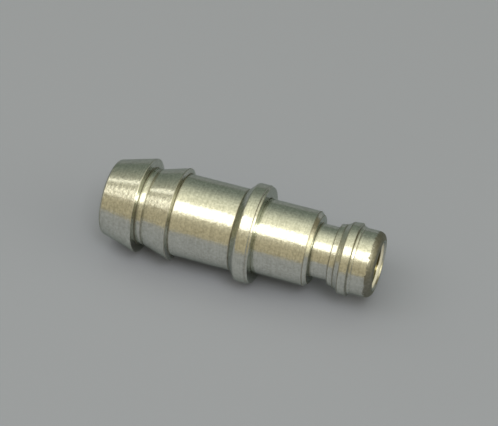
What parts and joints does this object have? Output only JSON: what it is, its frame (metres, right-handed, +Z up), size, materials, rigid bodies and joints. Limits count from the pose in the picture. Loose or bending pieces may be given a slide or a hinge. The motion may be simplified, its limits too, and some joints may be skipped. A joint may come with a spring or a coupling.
{
  "type": "quick coupler plug with hose tail",
  "caption": "Nickel-plated quick-coupler plug with a barbed hose tail, a thick collar, a grooved locking nose and a spring-loaded shut-off valve inside its bore.",
  "frame": {"origin": "on the axis, midway between the hose end and the nose end face, which is the centre of the part's box", "axes": "+X along the axis from the hose tail to the nose that enters the coupler; the part is round, so +Y and +Z are any two directions across it, with +Z up as it lies in use on a bench"},
  "size_m": [0.0338, 0.0122, 0.0122],
  "materials": {
    "plated_brass": "turned, satin nickel plate",
    "plated_valve": "turned, nickel plate",
    "bare_brass": "turned, unplated",
    "spring_steel": "drawn stainless wire",
    "seal_rubber": "moulded, satin black"
  },
  "bodies": {
    "root": {"hose_tail": "plated_brass", "plug_body": "plated_brass", "valve_guide": "bare_brass", "joint_seal": "seal_rubber", "valve_spring": "spring_steel"},
    "valve": {"valve_poppet": "plated_valve", "valve_seal": "seal_rubber"}
  },
  "joints": [
    {"name": "valve_slide", "type": "slide", "parent": "root", "child": "valve", "axis": [-1, 0, 0], "range_m": [0, 0.0022], "stiffness_N_per_m": 900, "springref_m": -0.0028, "deforming": ["valve_spring"]}
  ]
}
